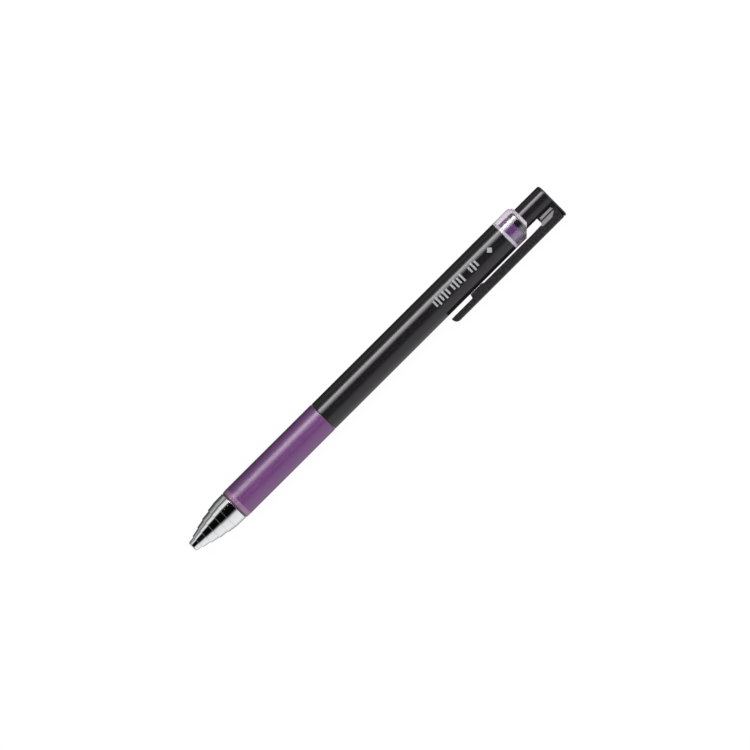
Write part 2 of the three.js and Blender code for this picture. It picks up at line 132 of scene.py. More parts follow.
# collar and ring
RING_R = 3.4
RING_BORE = 2.9
RIB_R = 4.05
RIB_HALF_WIDTH = 0.75
COLLAR_BORE = 3.6
COLLAR_NECK = 4.1  # outside of the collar's part in the barrel
COLLAR_CUT = 133.9  # the oblique cut removes x + z above this value
KEYWAY_R = 4.2
KEYWAY_HALF_WIDTH = 0.85
FROSTED_LENGTH = 1.1  # the collar is matt over this length at both ends

# knob, cap and clip; the block is the square part that knob and clip share
NECK_R = 2.4
KNOB_R = 3.35
KNOB_START = 129.35
KNOB_FLAT = 3.05
KNOB_BORE_END = 136
SPIGOT_BORE = 2.4
BLOCK_START = 135.1
BLOCK_OUTER = 8.08
BLOCK_HALF_WIDTH = 2.28
BLOCK_EDGE = 0.7
CAP_START = 141.3
CAP_EDGE = 0.64  # the cap's upper edge is rounded over this height
CAP_INSET = 0.95  # and over this width
HINGE_X = 4.1  # the clip bends about this place
HINGE_Z = 140.4
ROOT_RELIEF = 0.08  # the clip's root leans back by this much above its hinge
POCKET = dict(start=134.4, end=140.1, outer=5.75)
KEY_HALF_WIDTH = 1.0  # key and tongue that close the clip's groove to the eye
GROOVE_HALF_WIDTH = 1.25

# refill
BALL_R = 0.35
BALL_Z = 1.77
POINT_BORE = 0.6
POINT_SOCKET_R = 1.2
TUBE_BORE = 2.45
TUBE_R = 3.0
INK_R = 2.4

SIDES = 160  # of the outer round pieces
FEWER_SIDES = 96  # of the refill's pieces
BEYOND = 20  # reach of a cutter that has to pass everything


# ---- meshes ----------------------------------------------------------------------------

STRAIGHT = 1e-3  # a corner this close to straight gets no fillet
FILLET_SHARE = 0.48  # a fillet takes up to this share of each neighbouring side
ON_AXIS = 1e-6


def filleted(corners, steps=5):
    """Closed outline of (a, b) or (a, b, fillet radius) corners, with arcs at the fillets."""
    points = []
    for i, corner in enumerate(corners):
        here = Vector(corner[:2])
        before = Vector(corners[i - 1][:2]) - here
        after = Vector(corners[(i + 1) % len(corners)][:2]) - here
        radius = corner[2] if len(corner) > 2 else 0
        if not radius or abs(before.angle(after) - math.pi) < STRAIGHT:
            points.append(here)
            continue
        half = before.angle(after) / 2
        room = FILLET_SHARE * min(before.length, after.length)
        cut = min(radius / math.tan(half), room)
        radius = cut * math.tan(half)
        before.normalize()
        after.normalize()
        centre = here + (before + after).normalized() * radius / math.sin(half)
        start = (here + before * cut - centre) / radius
        end = (here + after * cut - centre) / radius
        for step in range(steps + 1):
            points.append(centre + start.slerp(end, step / steps) * radius)
    return points


def arc(centre, radius, start, end, steps):
    """Points on part of a circle, from one angle to another."""
    turns = [start + (end - start) * i / steps for i in range(steps + 1)]
    return [(centre[0] + radius * math.cos(a), centre[1] + radius * math.sin(a)) for a in turns]


def new_object(name, mesh_builder):
    """An object of the built mesh, with its faces turned outwards."""
    bmesh.ops.recalc_face_normals(mesh_builder, faces=mesh_builder.faces)
    mesh = bpy.data.meshes.new(name)
    mesh_builder.to_mesh(mesh)
    mesh_builder.free()
    made = bpy.data.objects.new(name, mesh)
    bpy.context.scene.collection.objects.link(made)
    return made


def lathe(name, corners, sides=SIDES, steps=5):
    """A closed outline of (radius, z[, fillet]) corners turned about the pen's axis."""
    builder = bmesh.new()
    rings = []
    for r, z in filleted(corners, steps):
        if r < ON_AXIS:
            rings.append([builder.verts.new((0, 0, z))] * sides)
            continue
        angles = [2 * math.pi * i / sides for i in range(sides)]
        rings.append([builder.verts.new((r * math.cos(a), r * math.sin(a), z)) for a in angles])
    for ring, following in zip(rings, rings[1:] + rings[:1]):
        for i in range(sides):
            j = (i + 1) % sides
            loop = dict.fromkeys((ring[i], ring[j], following[j], following[i]))
            if len(loop) > 2:
                builder.faces.new(loop)
    return new_object(name, builder)


def prism(name, outline, place, low, high):
    """An outline of (a, b) points pushed from low to high; place(a, b, depth) gives x, y, z."""
    builder = bmesh.new()
    loops = [[builder.verts.new(place(a, b, depth)) for a, b in outline] for depth in (low, high)]
    for loop in loops:
        builder.faces.new(loop)
    for i in range(len(outline)):
        j = (i + 1) % len(outline)
        builder.faces.new((loops[0][i], loops[0][j], loops[1][j], loops[1][i]))
    return new_object(name, builder)


def stacked(name, outlines):
    """A closed body through outlines of (x, y, z) points that lie above one another."""
    builder = bmesh.new()
    loops = [[builder.verts.new(point) for point in outline] for outline in outlines]
    for loop, following in zip(loops, loops[1:]):
        for i in range(len(loop)):
            j = (i + 1) % len(loop)
            builder.faces.new((loop[i], loop[j], following[j], following[i]))
    builder.faces.new(loops[0])
    builder.faces.new(loops[-1])
    return new_object(name, builder)


def side_plate(name, outline, low, high):
    """A plate drawn in the pen's side view, from one y to another."""
    return prism(name, outline, lambda x, z, y: (x, y, z), low, high)


def end_plate(name, outline, low, high):
    """A plate drawn in the pen's end view, from one z to another."""
    return prism(name, outline, lambda x, y, z: (x, y, z), low, high)


def box(name, x, y, z):
    corners = [(x[0], y[0]), (x[1], y[0]), (x[1], y[1]), (x[0], y[1])]
    return end_plate(name, corners, *z)


def apply_modifiers(thing):
    graph = bpy.context.evaluated_depsgraph_get()
    final = bpy.data.meshes.new_from_object(thing.evaluated_get(graph))
    thing.modifiers.clear()
    thing.data = final


def combine(thing, operation, *others):
    """Adds, cuts or intersects other bodies, which are used up."""
    for other in others:
        boolean = thing.modifiers.new("boolean", "BOOLEAN")
        boolean.operation = operation
        boolean.solver = "EXACT"
        boolean.object = other
        apply_modifiers(thing)
        bpy.data.objects.remove(other)
    return thing


def soften(thing, width, degrees=40, segments=3):
    """Rounds every edge sharper than the given angle."""
    bevel = thing.modifiers.new("bevel", "BEVEL")
    bevel.width = width
    bevel.segments = segments
    bevel.limit_method = "ANGLE"
    bevel.angle_limit = math.radians(degrees)
    bevel.use_clamp_overlap = True
    bevel.miter_outer = "MITER_ARC"
    apply_modifiers(thing)
    return thing


def swept_coil(name, section, place, count):
    """A closed tube: a section of (a, b) points at each step, put in space by place."""
    builder = bmesh.new()
    rings = [[builder.verts.new(place(step, a, b)) for a, b in section] for step in range(count)]
    for ring, following in zip(rings, rings[1:]):
        for i in range(len(section)):
            j = (i + 1) % len(section)
            builder.faces.new((ring[i], ring[j], following[j], following[i]))
    builder.faces.new(rings[0])
    builder.faces.new(rings[-1])
    return new_object(name, builder)


def spring(name, radius, wire, low, high, turns, closed_turns):
    """A compression spring: its end turns lie against each other, the middle is open."""
    steps_per_turn = 40
    wire_sides = 12
    count = int(turns * steps_per_turn) + 1
    closed_pitch = 2.1 * wire
    open_turns = turns - 2 * closed_turns
    length = high - low - 2 * wire
    open_pitch = (length - 2 * closed_turns * closed_pitch) / open_turns

    def height(turn):
        first = min(turn, closed_turns) * closed_pitch
        middle = min(max(turn - closed_turns, 0), open_turns) * open_pitch
        last = max(turn - closed_turns - open_turns, 0) * closed_pitch
        return low + wire + first + middle + last

    def place(step, a, b):
        turn = turns * step / (count - 1)
        angle = 2 * math.pi * turn
        return ((radius + a) * math.cos(angle), (radius + a) * math.sin(angle), height(turn) + b)

    section = arc((0, 0), wire, 0, 2 * math.pi, wire_sides)[:-1]
    return swept_coil(name, section, place, count)


def finish_piece(piece, body, material, slot, *nodes, sharp=38):
    """Lays a piece into the row frame, shades it and hands it to its CAD body."""
    piece.data.transform(PEN)
    piece.data.shade_smooth()
    piece.data.set_sharp_from_angle(angle=math.radians(sharp))
    weighted = piece.modifiers.new("flat_faces_stay_flat", "WEIGHTED_NORMAL")
    weighted.keep_sharp = True
    apply_modifiers(piece)
    piece.data.materials.clear()
    piece.data.materials.append(material)
    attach(piece, body)
    if nodes:
        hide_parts(*nodes)
    return piece


# ---- materials -------------------------------------------------------------------------


def srgb(red, green, blue):
    """Linear colour from everyday 0 to 255 values."""
    linear = []
    for value in (red, green, blue):
        share = value / 255
        linear.append(share / 12.92 if value <= 10 else ((share + 0.055) / 1.055) ** 2.4)
    return (*linear, 1)


def new_material(name, **inputs):
    """A material with the given shader inputs; underscores stand for blanks in their names."""
    made = bpy.data.materials.new(name)
    made.use_nodes = True
    shader = made.node_tree.nodes["Principled BSDF"]
    for key, value in inputs.items():
        shader.inputs[key.replace("_", " ")].default_value = value
    return made


def shader_input(material, name):
    return material.node_tree.nodes["Principled BSDF"].inputs[name]


def noise(material, scale, detail=3.0, stretch=(1, 1, 1)):
    """Noise whose scale is in features to a millimetre; stretch squeezes it along X, Y, Z."""
    nodes, links = material.node_tree.nodes, material.node_tree.links
    coordinates = nodes.new("ShaderNodeTexCoord")
    mapping = nodes.new("ShaderNodeMapping")
    mapping.inputs["Scale"].default_value = [s / MM for s in stretch]
    texture = nodes.new("ShaderNodeTexNoise")
    texture.inputs["Scale"].default_value = scale
    texture.inputs["Detail"].default_value = detail
    links.new(coordinates.outputs["Object"], mapping.inputs["Vector"])
    links.new(mapping.outputs["Vector"], texture.inputs["Vector"])
    return texture.outputs["Fac"]


NOISE_LOW, NOISE_HIGH = 0.3, 0.7  # nearly all of the noise lies between these


def vary(material, name, fac, low, high):
    """Drives a number of the shader from noise, between low and high."""
    remap = material.node_tree.nodes.new("ShaderNodeMapRange")
    remap.inputs["From Min"].default_value = NOISE_LOW
    remap.inputs["From Max"].default_value = NOISE_HIGH
    remap.inputs["To Min"].default_value = low
    remap.inputs["To Max"].default_value = high
    material.node_tree.links.new(fac, remap.inputs["Value"])
    material.node_tree.links.new(remap.outputs["Result"], shader_input(material, name))


def tint(material, fac, first, second):
    """Mixes the base colour between two colours by noise; the first may be another mix."""
    mix = material.node_tree.nodes.new("ShaderNodeMix")
    mix.data_type = "RGBA"
    colours = [socket for socket in mix.inputs if socket.type == "RGBA"]
    if isinstance(first, tuple):
        colours[0].default_value = first
    else:
        material.node_tree.links.new(first, colours[0])
    colours[1].default_value = second
    material.node_tree.links.new(fac, mix.inputs[0])
    result = next(socket for socket in mix.outputs if socket.type == "RGBA")
    material.node_tree.links.new(result, shader_input(material, "Base Color"))
    return result


def bump(material, fac, height_mm):
    """Relief from noise, of a height in millimetres."""
    node = material.node_tree.nodes.new("ShaderNodeBump")
    node.inputs["Distance"].default_value = height_mm * MM
    node.inputs["Strength"].default_value = 1.0
    material.node_tree.links.new(fac, node.inputs["Height"])
    material.node_tree.links.new(node.outputs["Normal"], shader_input(material, "Normal"))


def along_pen(material, start, end, amount):
    """Rises from 0 to amount between two places along the pen, in millimetres from the tip."""
    nodes, links = material.node_tree.nodes, material.node_tree.links
    along = nodes.new("ShaderNodeVectorMath")
    along.operation = "DOT_PRODUCT"
    along.inputs[1].default_value = AXIS
    ramp = nodes.new("ShaderNodeMapRange")
    ramp.inputs["From Min"].default_value = TIP.x + start * MM
    ramp.inputs["From Max"].default_value = TIP.x + end * MM
    ramp.inputs["To Max"].default_value = amount
    links.new(nodes.new("ShaderNodeTexCoord").outputs["Object"], along.inputs[0])
    links.new(along.outputs["Value"], ramp.inputs["Value"])
    return ramp.outputs["Result"]


def black_plastic(name, first, second, low, high):
    """Black moulding: faint flow marks and an uneven polish between two roughnesses."""
    made = new_material(name, IOR=1.5)
    tint(made, noise(made, scale=0.25), first, second)
    vary(made, "Roughness", noise(made, scale=1.5), low, high)
    bump(made, noise(made, scale=0.5, detail=2), height_mm=0.0015)
    return made


def violet_rubber():
    """Soft-touch grip: satin, with a fine matt grain, a pale lip and, in front of it, painted shade
    where it meets the cone.
    """
    made = new_material("violet_rubber", IOR=1.5, Specular_IOR_Level=1.0)
    lip_end = GRIP_START + LIP_END
    joint_shade_end = GRIP_START + JOINT_SHADE_END
    sleeve = tint(made, noise(made, scale=0.12), srgb(89, 40, 99), srgb(99, 47, 105))
    lip = along_pen(made, lip_end, lip_end - 0.4, amount=0.6)
    # painted shade: the grip's front edge is darkened where it meets the cone
    joint_shade = along_pen(made, joint_shade_end, joint_shade_end - 0.3, amount=0.8)
    sleeve_and_lip = tint(made, lip, sleeve, srgb(150, 112, 145))
    tint(made, joint_shade, sleeve_and_lip, srgb(58, 46, 56))
    vary(made, "Roughness", noise(made, scale=4), low=0.3, high=0.38)
    bump(made, noise(made, scale=9, detail=4), height_mm=0.006)
    return made


def chrome():
    """Plated metal, turned on a lathe: hair-fine rings and a very high polish."""
    made = new_material("chrome", Metallic=1.0)
    tint(made, noise(made, scale=0.6), srgb(240, 241, 243), srgb(248, 248, 249))
    vary(made, "Roughness", noise(made, 1, 4, stretch=(30, 2, 2)), low=0.03, high=0.07)
    bump(made, noise(made, 1, 3, stretch=(25, 0.4, 0.4)), height_mm=0.0004)
    return made


def turned_steel(name, colour, roughness):
    """Bare metal with fine turning marks and slightly darker patches."""
    made = new_material(name, Metallic=1.0, Roughness=roughness)
    darker = [0.85 * c for c in colour[:3]]
    polish = noise(made, 1, 4, stretch=(40, 3, 3))
    tint(made, noise(made, scale=2), colour, (*darker, 1))
    vary(made, "Roughness", polish, low=0.8 * roughness, high=1.3 * roughness)
    bump(made, noise(made, 1, 3, stretch=(30, 0.5, 0.5)), height_mm=0.001)
    return made


def moulded(name, first, second, roughness, **inputs):
    """Plain moulded plastic with slight shade and polish variation."""
    made = new_material(name, Roughness=roughness, **inputs)
    polish = noise(made, scale=2)
    tint(made, noise(made, scale=0.3), first, second)
    vary(made, "Roughness", polish, low=0.85 * roughness, high=1.2 * roughness)
    bump(made, noise(made, scale=1.2), height_mm=0.002)
    return made


def clear_plastic():
    """Clear moulding with a polished skin and matt ends. Light on its way to a lamp passes it."""
    skin_share = 0.09
    rear_frost, front_frost = 0.5, 0.35
    frost_fade = 0.3
    made = new_material("clear_plastic", IOR=1.49, Transmission_Weight=1.0)
    tint(made, noise(made, scale=0.3), srgb(230, 220, 232), srgb(236, 228, 238))
    vary(made, "Roughness", noise(made, scale=2), low=0.08, high=0.12)
    bump(made, noise(made, scale=0.7, detail=2), height_mm=0.0004)
    nodes, links = made.node_tree.nodes, made.node_tree.links

    def mixed(amount, first, second):
        mix = nodes.new("ShaderNodeMixShader")
        if isinstance(amount, float):
            mix.inputs["Fac"].default_value = amount
        else:
            links.new(amount, mix.inputs["Fac"])
        links.new(first, mix.inputs[1])
        links.new(second, mix.inputs[2])
        return mix.outputs["Shader"]

    frost = nodes.new("ShaderNodeBsdfDiffuse")
    frost.inputs["Color"].default_value = srgb(226, 218, 228)
    skin = nodes.new("ShaderNodeBsdfGlossy")
    skin.inputs["Roughness"].default_value = 0.16
    passing = nodes.new("ShaderNodeBsdfTransparent")
    passing.inputs["Color"].default_value = (0.9, 0.88, 0.92, 1)
    body = mixed(skin_share, nodes["Principled BSDF"].outputs["BSDF"], skin.outputs["BSDF"])
    rear_edge = COLLAR_END - FROSTED_LENGTH
    front_edge = BARREL_END + FROSTED_LENGTH
    rear = along_pen(made, rear_edge, rear_edge + frost_fade, rear_frost)
    front = along_pen(made, front_edge, front_edge - frost_fade, front_frost)
    body = mixed(rear, body, frost.outputs["BSDF"])
    body = mixed(front, body, frost.outputs["BSDF"])
    lit = nodes.new("ShaderNodeLightPath").outputs["Is Shadow Ray"]
    links.new(mixed(lit, body, passing.outputs["BSDF"]), nodes["Material Output"].inputs["Surface"])
    return made


BLACK = black_plastic("black_plastic", srgb(24, 22, 24), srgb(31, 29, 32), 0.13, 0.2)
BLACK_SATIN = black_plastic("black_satin", srgb(32, 30, 32), srgb(38, 36, 39), 0.22, 0.3)
RUBBER = violet_rubber()
CHROME = chrome()
CLEAR = clear_plastic()
STEEL = turned_steel("spring_steel", srgb(190, 194, 198), 0.22)
POINT_STEEL = turned_steel("point_steel", srgb(205, 205, 203), 0.18)
CARBIDE = turned_steel("carbide", srgb(150, 152, 156), 0.12)
VIOLET = moulded("violet_plastic", srgb(112, 76, 127), srgb(125, 87, 140), 0.3,
                 Subsurface_Weight=0.1)
WHITE = moulded("white_plastic", srgb(226, 226, 222), srgb(236, 236, 233), 0.4)
NATURAL = moulded("natural_plastic", srgb(216, 217, 213), srgb(228, 229, 226), 0.3,
                  Transmission_Weight=0.35)
INK = moulded("violet_ink", srgb(70, 22, 98), srgb(86, 30, 116), 0.15)
GREASE = moulded("clear_grease", srgb(226, 216, 160), srgb(236, 228, 184), 0.2,
                 Transmission_Weight=0.4)
PRINT = moulded("silver_print", srgb(148, 148, 150), srgb(166, 166, 168), 0.45)

# ---- front half ------------------------------------------------------------------------


def tip_cone():
    """Bright steps; each is (start z, start radius, end z, end radius)."""
    edge = 0.04
    rings = [
        (0.25, 1.6, 2.08, 1.84),
        (2.12, 2.18, 4.7, 2.68),
        (4.75, 2.98, 7.4, 3.46),
        (7.45, 3.71, 10.3, 4.0),
        (10.35, 4.32, 12.8, 4.61),
        (12.85, 4.68, CONE_END - 0.1, 4.77),
    ]
    outside = [(1.4, 0, 0.12)]
    for z0, r0, z1, r1 in rings:
        outside += [(r0, z0, edge), (r1, z1, edge)]
    inside = [
        (4.65, CONE_END, 0.05),
        (3.98, CONE_END, 0.05),
        (3.98, 10.9),
        (3.1, 10.9),
        (3.1, 8.2),
        (2.6, 8.2),
        (2.6, 5.2),
        (1.25, 5.2),
        (1.25, 0, 0.1),
    ]
    return lathe("cone_shell", outside + inside)


def rubber_grip():
    return lathe("grip_sleeve", [
        (GRIP_BORE, GRIP_START),
        (GRIP_R - 0.32, GRIP_START, 0.06),
        (GRIP_R - 0.06, GRIP_START + 0.45, 0.15),
        (GRIP_R, GRIP_START + 1.6, 0.5),
        (GRIP_R, GRIP_END, 0.3),
        (GRIP_BORE, GRIP_END),
    ])


def barrel():
    sleeve_bore = 4.15
    return lathe("barrel_tube", [
        (BARREL_BORE, BARREL_START, 0.1),
        (THREAD_ROOT, BARREL_START, 0.15),
        (THREAD_ROOT, CONE_END + HAIR),
        (BARREL_CORE, CONE_END + HAIR),
        (BARREL_CORE, GRIP_END + HAIR),
        (BARREL_R, GRIP_END + HAIR, 0.15),
        (BARREL_R, BARREL_END, 0.12),
        (sleeve_bore, BARREL_END, 0.05),
        (sleeve_bore, SLEEVE_START - HAIR),
        (COLLAR_BORE, SLEEVE_START - HAIR),
        (COLLAR_BORE, SLEEVE_START - 5),
        (BARREL_BORE, SLEEVE_START - 6),
    ])


def barrel_thread():
    """One rolled thread on the barrel's neck, fading in and out over a quarter turn."""
    start = BARREL_START + 0.7
    steps_per_turn = 96
    count = int(THREAD_TURNS * steps_per_turn) + 1
    depth = THREAD_CREST - THREAD_ROOT
    sunk, crest_half, root_half = -0.08, 0.08, 0.4
    section = [(sunk, -root_half), (1, -crest_half), (1, crest_half), (sunk, root_half)]

    def place(step, height, along):
        turn = THREAD_TURNS * step / (count - 1)
        fade = min(1, 4 * turn, 4 * (THREAD_TURNS - turn))
        r = THREAD_ROOT + depth * height * (fade if height > 0 else 1)
        angle = 2 * math.pi * turn
        return (r * math.cos(angle), r * math.sin(angle), start + PITCH * turn + along)

    return swept_coil("barrel_thread", section, place, count)


def printed_marks():
    """Groups of plain bars and one lozenge, printed along the barrel; they spell nothing."""
    builder = bmesh.new()
    low, high = BARREL_R - 0.01, BARREL_R + 0.012
    facing = -math.pi / 2
    off_centre = 0.2
    steps = 6

    def patch(centre_z, half_length, half_height, turned=0.0):
        grid = {}
        for level, r in enumerate((low, high)):
            for i in range(steps + 1):
                for j in range(steps + 1):
                    u = (2 * i / steps - 1) * half_length
                    v = (2 * j / steps - 1) * half_height
                    z = centre_z + u * math.cos(turned) - v * math.sin(turned)
                    around = u * math.sin(turned) + v * math.cos(turned)
                    angle = facing + (around - off_centre) / BARREL_R
                    at = (r * math.cos(angle), r * math.sin(angle), z)
                    grid[level, i, j] = builder.verts.new(at)
        for i in range(steps):
            for j in range(steps):
                square = [(i, j), (i + 1, j), (i + 1, j + 1), (i, j + 1)]
                for level in (0, 1):
                    builder.faces.new([grid[level, a, b] for a, b in square])
        rim = [(i, 0) for i in range(steps)] + [(steps, j) for j in range(steps)]
        rim += [(steps - i, steps) for i in range(steps)] + [(0, steps - j) for j in range(steps)]
        for a, b in zip(rim, rim[1:] + rim[:1]):
            builder.faces.new((grid[0, *a], grid[0, *b], grid[1, *b], grid[1, *a]))

    bar_pitch, bar_half_width = 1.25, 0.3
    short_bar, long_bar = 1.0, 1.4
    for start, count in ((97.5, 5), (104.4, 4), (111.3, 3)):
        for i in range(count):
            patch(start + bar_pitch * i, bar_half_width, long_bar if i % 2 else short_bar)
    lozenge_z, lozenge_half = 119.1, 0.7
    patch(lozenge_z, lozenge_half, lozenge_half, math.pi / 4)
    return new_object("printed_marks", builder)


# ---- collar and push mechanism ----------------------------------------------------------


def clear_collar():
    """Clear tube with a keyway, an oblique cut towards the clip, and room for the block."""
    collar = lathe("collar_window", [
        (COLLAR_BORE, COLLAR_START),
        (COLLAR_NECK, COLLAR_START, 0.1),
        (COLLAR_NECK, BARREL_END + HAIR),
        (BARREL_R, BARREL_END + HAIR, 0.08),
        (BARREL_R, COLLAR_END - 1.35, 0.5),
        (BARREL_R - 0.9, COLLAR_END, 0.3),
        (COLLAR_BORE, COLLAR_END, 0.1),
    ])
    below, above = 110, 140
    keyway = box("keyway", (0, KEYWAY_R), (-KEYWAY_HALF_WIDTH, KEYWAY_HALF_WIDTH), (below, above))
    cut_low, cut_high = 122, 138
    corner = [
        (COLLAR_CUT - cut_low, cut_low),
        (COLLAR_CUT - cut_high, cut_high),
        (BEYOND, cut_high),
        (BEYOND, cut_low),
    ]
    oblique = side_plate("oblique", corner, -8, 8)
    notch_half = BLOCK_HALF_WIDTH + 0.15
    notch_start = BLOCK_START - STROKE - 0.2
    notch = box("notch", (2.2, 6), (-notch_half, notch_half), (notch_start, above))
    combine(collar, "DIFFERENCE", keyway, oblique, notch)
    return soften(collar, 0.09, 50)


def colour_ring():
    """Ring on the plunger, with a rib that runs in the collar's keyway."""
    ring = lathe("colour_band", [
        (RING_BORE, RING_START, 0.05),
        (RING_R - 0.3, RING_START, 0.1),
        (RING_R, RING_START + 0.35, 0.15),
        (RING_R, RING_END - 0.45, 0.15),
        (RING_R - 0.3, RING_END, 0.1),
        (RING_BORE, RING_END, 0.05),
    ])
    rib_width = (-RIB_HALF_WIDTH, RIB_HALF_WIDTH)
    rib = box("rib", (RING_R - 0.2, RIB_R), rib_width, (RING_START, RING_END))
    combine(ring, "UNION", rib)
    return soften(ring, 0.06, 50, 2)


def pocket_cutter(name, x_from, x_to, floor_from, floor_to, start, side):
    """A recess between two places across the pen; its floor slopes from one to the other."""
    far = side * 4
    section = [(x_from, side * floor_from), (x_to, side * floor_to), (x_to, far), (x_from, far)]
    return end_plate(name, section, start, POCKET["end"] + 1)


def cut_pockets(thing):
    """Recesses in both sides of the head. Their floors slope, and their upper end leans back."""
    inner, outer = 2.9, 6
    outline = filleted([
        (KNOB_FLAT, POCKET["start"]),
        (POCKET["outer"], POCKET["start"], 0.5),
        (POCKET["outer"], POCKET["end"] - 1.7, 0.6),
        (POCKET["outer"] - 1.0, POCKET["end"], 0.6),
        (KNOB_FLAT, POCKET["end"], 0.3),
    ])
    for side in (-1, 1):
        outside = side_plate("outside", outline, *sorted((side * 0.2, side * 4)))
        near_knob = pocket_cutter("near_knob", inner, HINGE_X, 1.72, 2.15, BLOCK_START + 0.5, side)
        near_clip = pocket_cutter("near_clip", HINGE_X, outer, 1.5, 2.2, POCKET["start"], side)
        combine(near_knob, "UNION", near_clip)
        combine(near_knob, "INTERSECT", outside)
        combine(thing, "DIFFERENCE", near_knob)
    return thing


def knock_button():
    """Push knob with a flat, the block's root, two side grooves and a recess for the cap."""
    button_top = CAP_START - HAIR
    recess = 1.8
    knob = lathe("knob", [
        (NECK_R + HAIR, KNOB_START, 0.05),
        (KNOB_R, KNOB_START, 0.25),
        (KNOB_R, button_top, 0.06),
        (SPIGOT_BORE, button_top, 0.05),
        (SPIGOT_BORE, button_top - recess),
        (0, button_top - recess),
        (0, KNOB_BORE_END),
        (NECK_R + HAIR, KNOB_BORE_END),
    ])
    flat = box("flat", (KNOB_FLAT, 5), (-4, 4), (KNOB_START - 1, BLOCK_START))
    width = (-BLOCK_HALF_WIDTH, BLOCK_HALF_WIDTH)
    root = box("root", (NECK_R + 0.2, HINGE_X - TIGHT), width, (BLOCK_START, button_top))
    combine(knob, "DIFFERENCE", flat)
    combine(knob, "UNION", root)
    whole_knob = (KNOB_START - 1.35, PEN_LENGTH)
    for side in (-1, 1):
        across = sorted((side * 1.75, side * 3))
        combine(knob, "DIFFERENCE", box("groove", (2.4, 2.75), across, whole_knob))
    cut_pockets(knob)
    soften(knob, 0.07, 50, 2)
    key_width = (-KEY_HALF_WIDTH, KEY_HALF_WIDTH)
    key = box("key", (HINGE_X - 0.1, 4.33), key_width, (HINGE_Z - 0.05, button_top - 0.05))
    return combine(knob, "UNION", key)


def end_outline(inset=0.0):
    """Knob and clip seen from the end: a circle with a block that has two round corners."""
    block_share = 0.65  # of the inset, that the block takes
    r = KNOB_R - inset
    w = BLOCK_HALF_WIDTH - block_share * inset
    far = BLOCK_OUTER - block_share * inset
    start = math.asin(w / r)
    circle = arc((0, 0), r, start, 2 * math.pi - start, 96)
    return filleted([*circle, (far, -w, BLOCK_EDGE), (far, w, BLOCK_EDGE)], 8)


def knock_cap():
    """Thin cap with a round upper edge. Its spigot sits in the knob, its tongue in the clip."""
    chamfer = 0.04
    steps = 6
    levels = [(chamfer, CAP_START), (0, CAP_START + chamfer)]
    for i in range(steps + 1):
        a = math.pi / 2 * i / steps
        inset = CAP_INSET * (1 - math.cos(a))
        levels.append((inset, PEN_LENGTH - CAP_EDGE * (1 - math.sin(a))))
    outlines = [[(x, y, z) for x, y in end_outline(inset)] for inset, z in levels]
    cap = stacked("knob_cap", outlines)
    inside = CAP_START + 0.3
    tongue_width = (-KEY_HALF_WIDTH, KEY_HALF_WIDTH)
    tongue = box("tongue", (4.4, 7.85), tongue_width, (CAP_START - 0.6, inside))
    combine(cap, "UNION", tongue)
    spigot_r = SPIGOT_BORE - HAIR
    spigot_end = CAP_START - 1.7
    corners = [(0, spigot_end), (spigot_r, spigot_end, 0.2), (spigot_r, inside), (0, inside)]
    return combine(cap, "UNION", lathe("spigot", corners))


def clip_outline():
    """Side view of the clip: head, straight arm, nub, and the thinner free end."""
    inner, nub, tip = 5.25, BARREL_R + 0.05, 6.1
    nub_start, nub_end = 106.5, 110.9
    round_end = 1.6
    top = CLIP_TOP
    end_centre = (BLOCK_OUTER - round_end, CLIP_END + round_end)
    return filleted([
        (HINGE_X + TIGHT + ROOT_RELIEF, top),
        (BLOCK_OUTER, top - 0.33, 0.12),
        *arc(end_centre, round_end, 0, -math.pi / 2, 10),
        (tip, CLIP_END, 0.25),
        (tip, nub_start - 0.3, 0.4),
        (nub, nub_start, 0.3),
        (nub, nub_end, 0.3),
        (inner, nub_end + 0.7, 0.3),
        (inner, 130.5, 3),
        (5.1, BLOCK_START, 0.95),
        (HINGE_X + TIGHT, BLOCK_START),
        (HINGE_X + TIGHT, HINGE_Z - 0.1),
    ], 8)


def clip_arm():
    """The clip with its head's pockets and, in its top, the groove for key and tongue."""
    clip = side_plate("clip_lever", clip_outline(), -BLOCK_HALF_WIDTH, BLOCK_HALF_WIDTH)
    view_from_end = end_plate("end_view", end_outline(), CLIP_END - 2, PEN_LENGTH + 1)
    combine(clip, "INTERSECT", view_from_end)
    cut_pockets(clip)
    soften(clip, 0.1, 50, 3)
    groove_width = (-GROOVE_HALF_WIDTH, GROOVE_HALF_WIDTH)
    groove = box("tongue_groove", (4, 7.98), groove_width, (CAP_START - 1.05, PEN_LENGTH))
    return combine(clip, "DIFFERENCE", groove)


# ---- refill ----------------------------------------------------------------------------


def point_holder():
    """Turned steel point: a rounded cone, a shank with a groove, and a bored back."""
    return lathe("turned_point", [
        (0.38, 1.7),
        (0.5, 1.66, 0.05),
        (0.6, 2.2, 0.3),
        (1.12, 5.3, 0.4),
        (1.15, 6.2),
        (1.15, 7.0, 0.04),
        (1.05, 7.1, 0.04),
        (1.05, 7.4, 0.04),
        (1.15, 7.5, 0.04),
        (1.15, 13, 0.1),
        (POINT_BORE, 13),
        (POINT_BORE, 3.1),
        (0.2, 3.0),
        (0.2, 2.3),
        (0.38, 2.25),
    ], FEWER_SIDES)


def writing_ball():
    half = arc((0, BALL_Z), BALL_R, -math.pi / 2, math.pi / 2, 24)
    outline = [(0, BALL_Z - BALL_R), *half[1:-1], (0, BALL_Z + BALL_R)]
    return lathe("ball", outline, 48)


def tip_holder():
    """Stepped adapter: the point sits in its front, the tube round its back."""
    return lathe("point_socket", [
        (POINT_SOCKET_R, 10.2),
        (1.6, 10.2, 0.15),
        (1.75, 12),
        (1.75, 15.6, 0.1),
        (2.85, 15.6, 0.15),
        (2.85, 18, 0.1),
        (2.4, 18),
        (2.4, 22, 0.15),
        (0.7, 22),
        (0.7, 13.05),
        (POINT_SOCKET_R, 13.05),
    ], FEWER_SIDES)


